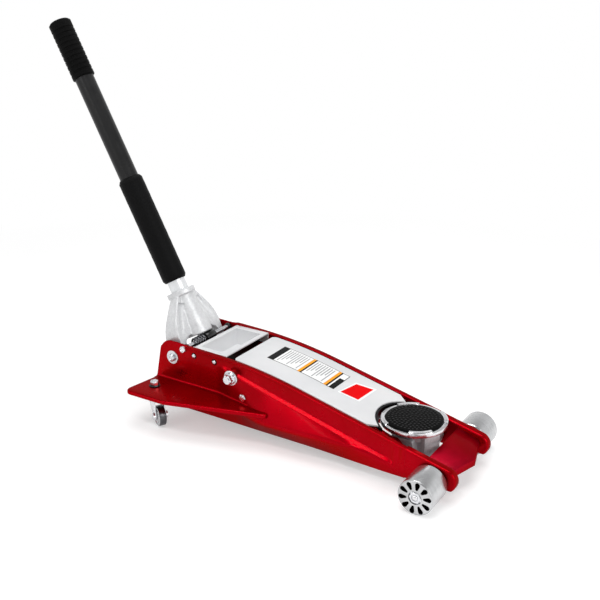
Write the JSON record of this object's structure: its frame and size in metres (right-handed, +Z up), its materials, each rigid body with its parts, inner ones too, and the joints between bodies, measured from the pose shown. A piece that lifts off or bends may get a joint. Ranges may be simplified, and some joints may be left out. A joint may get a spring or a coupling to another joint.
{
  "type": "trolley jack",
  "caption": "Low-profile trolley jack: hydraulic lift arm with a level, swivelling saddle, pump and release handle, front rollers and rear swivel casters.",
  "frame": {"origin": "on the floor, below the centre of the whole jack's box, with the handle at its upright rest", "axes": "+X towards the saddle and the front rollers, +Y to the jack's left, +Z up; Y = 0 is the middle plane"},
  "size_m": [0.8764, 0.302, 0.7024],
  "materials": {
    "red_paint": "gloss",
    "white_paint": "gloss",
    "cast_aluminium": "satin",
    "turned_aluminium": "brushed",
    "polished_steel": "polished",
    "zinc_plate": "satin",
    "black_steel": "satin",
    "bronze": "satin",
    "tube_silver": "brushed",
    "tube_black": "satin",
    "wheel_steel": "satin",
    "pad_rubber": "matte",
    "sleeve_black": "satin",
    "foam": "matte"
  },
  "bodies": {
    "frame": {"side_plate_near": "red_paint", "side_plate_far": "red_paint", "front_hood": "red_paint", "base_plate": "red_paint", "tool_tray": "white_paint", "tray_screws": "zinc_plate", "yoke_pivot_bolts": "zinc_plate", "pivot_washers": "zinc_plate", "stop_rod": "zinc_plate", "stop_sleeves": "sleeve_black", "handle_spring": "black_steel", "lift_pivot_shaft": "polished_steel", "lift_pivot_nuts": "zinc_plate", "link_pivots": "zinc_plate", "power_unit": "black_steel", "ram_gland": "zinc_plate", "pump_glands": "zinc_plate", "filler_plug": "pad_rubber", "unit_bolts": "zinc_plate", "front_axle": "polished_steel", "axle_spacers": "zinc_plate", "axle_nuts": "zinc_plate", "caster_studs": "zinc_plate", "caster_washers": "black_steel", "caster_nuts": "zinc_plate", "return_spring_near": "zinc_plate", "return_spring_far": "zinc_plate", "plunger_springs": "zinc_plate"},
    "arm": {"lift_arm": "red_paint", "arm_bush": "bronze", "thrust_pin": "polished_steel", "arm_cover": "white_paint", "head_pin": "polished_steel"},
    "head": {"saddle_head": "polished_steel", "toe_pin": "polished_steel"},
    "saddle": {"saddle": "polished_steel", "saddle_pad": "pad_rubber"},
    "link_near": {"parallel_link_near": "zinc_plate"},
    "link_far": {"parallel_link_far": "zinc_plate"},
    "ram": {"ram": "polished_steel"},
    "plungers": {"pump_plunger_near": "polished_steel", "pump_plunger_far": "polished_steel"},
    "valve": {"release_valve": "polished_steel"},
    "yoke": {"handle_yoke": "cast_aluminium", "pump_pin": "polished_steel"},
    "handle": {"handle_tube_lower": "tube_silver", "handle_tube_upper": "tube_black", "foam_sleeve": "foam", "handle_grip": "pad_rubber", "button_spring": "zinc_plate", "release_drive": "polished_steel"},
    "button": {"lock_button": "polished_steel"},
    "roller_near": {"front_roller_near": "turned_aluminium"},
    "roller_far": {"front_roller_far": "turned_aluminium"},
    "caster_near": {"caster_fork_near": "zinc_plate", "caster_axle_near": "zinc_plate"},
    "caster_far": {"caster_fork_far": "zinc_plate", "caster_axle_far": "zinc_plate"},
    "wheel_near": {"caster_wheel_near": "wheel_steel"},
    "wheel_far": {"caster_wheel_far": "wheel_steel"}
  },
  "joints": [
    {"name": "lift_arm_hinge", "type": "hinge", "parent": "frame", "child": "arm", "pos_m": [0.01082, 0, 0.111], "axis": [0, -1, 0], "range_deg": [0, 52]},
    {"name": "saddle_head_hinge", "type": "hinge", "parent": "arm", "child": "head", "pos_m": [0.31582, 0, 0.056], "axis": [0, -1, 0], "range_deg": [-52.5, 0.5]},
    {"name": "saddle_swivel", "type": "hinge", "parent": "head", "child": "saddle", "pos_m": [0.32812, 0, 0.072], "axis": [0, 0, 1], "continuous": true},
    {"name": "link_near_hinge", "type": "hinge", "parent": "frame", "child": "link_near", "pos_m": [0.03782, -0.057, 0.081], "axis": [0, -1, 0], "range_deg": [-0.5, 52.5]},
    {"name": "link_far_hinge", "type": "hinge", "parent": "frame", "child": "link_far", "pos_m": [0.03782, 0.057, 0.081], "axis": [0, -1, 0], "range_deg": [-0.5, 52.5]},
    {"name": "ram_slide", "type": "slide", "parent": "frame", "child": "ram", "axis": [1, 0, 0], "range_m": [-0.0005, 0.0535], "deforming": ["return_spring_near", "return_spring_far"]},
    {"name": "handle_pump", "type": "hinge", "parent": "frame", "child": "yoke", "pos_m": [-0.12718, 0, 0.116], "axis": [0, -1, 0], "range_deg": [0, 55], "stiffness_Nm_per_rad": 8, "springref_deg": -80.21},
    {"name": "plunger_slide", "type": "slide", "parent": "frame", "child": "plungers", "axis": [1, 0, 0], "range_m": [-0.0005, 0.0172], "deforming": ["plunger_springs"]},
    {"name": "handle_twist", "type": "hinge", "parent": "yoke", "child": "handle", "pos_m": [-0.13975, 0, 0.17749], "axis": [-0.4787, 0, 0.878], "range_deg": [0, 120]},
    {"name": "release_valve_turn", "type": "hinge", "parent": "frame", "child": "valve", "pos_m": [-0.10418, 0, 0.096], "axis": [-0.313, 0, 0.9497], "range_deg": [-0.5, 120.5]},
    {"name": "lock_button_press", "type": "slide", "parent": "handle", "child": "button", "axis": [0, -1, 0], "range_m": [0, 0.004], "stiffness_N_per_m": 900, "springref_m": -0.0015, "deforming": ["button_spring"]},
    {"name": "roller_near_spin", "type": "hinge", "parent": "frame", "child": "roller_near", "pos_m": [0.39582, -0.107, 0.0297], "axis": [0, 1, 0], "continuous": true},
    {"name": "roller_far_spin", "type": "hinge", "parent": "frame", "child": "roller_far", "pos_m": [0.39582, 0.107, 0.0297], "axis": [0, 1, 0], "continuous": true},
    {"name": "caster_near_swivel", "type": "hinge", "parent": "frame", "child": "caster_near", "pos_m": [-0.14118, -0.108, 0.06], "axis": [0, 0, 1], "continuous": true},
    {"name": "caster_far_swivel", "type": "hinge", "parent": "frame", "child": "caster_far", "pos_m": [-0.14118, 0.108, 0.06], "axis": [0, 0, 1], "continuous": true},
    {"name": "caster_wheel_near_spin", "type": "hinge", "parent": "caster_near", "child": "wheel_near", "pos_m": [-0.12299, -0.1185, 0.019], "axis": [0.5, 0.866, 0], "continuous": true},
    {"name": "caster_wheel_far_spin", "type": "hinge", "parent": "caster_far", "child": "wheel_far", "pos_m": [-0.12299, 0.1185, 0.019], "axis": [-0.5, 0.866, 0], "continuous": true}
  ],
  "couplings": [
    {"joint": "saddle_head_hinge", "follows": "lift_arm_hinge", "ratio": -1},
    {"joint": "link_near_hinge", "follows": "lift_arm_hinge", "ratio": 1},
    {"joint": "link_far_hinge", "follows": "lift_arm_hinge", "ratio": 1},
    {"joint": "ram_slide", "follows": "lift_arm_hinge", "m_per_rad": 0.057957},
    {"joint": "plunger_slide", "follows": "handle_pump", "m_per_rad": 0.017317},
    {"joint": "release_valve_turn", "follows": "handle_twist", "ratio": 1}
  ]
}
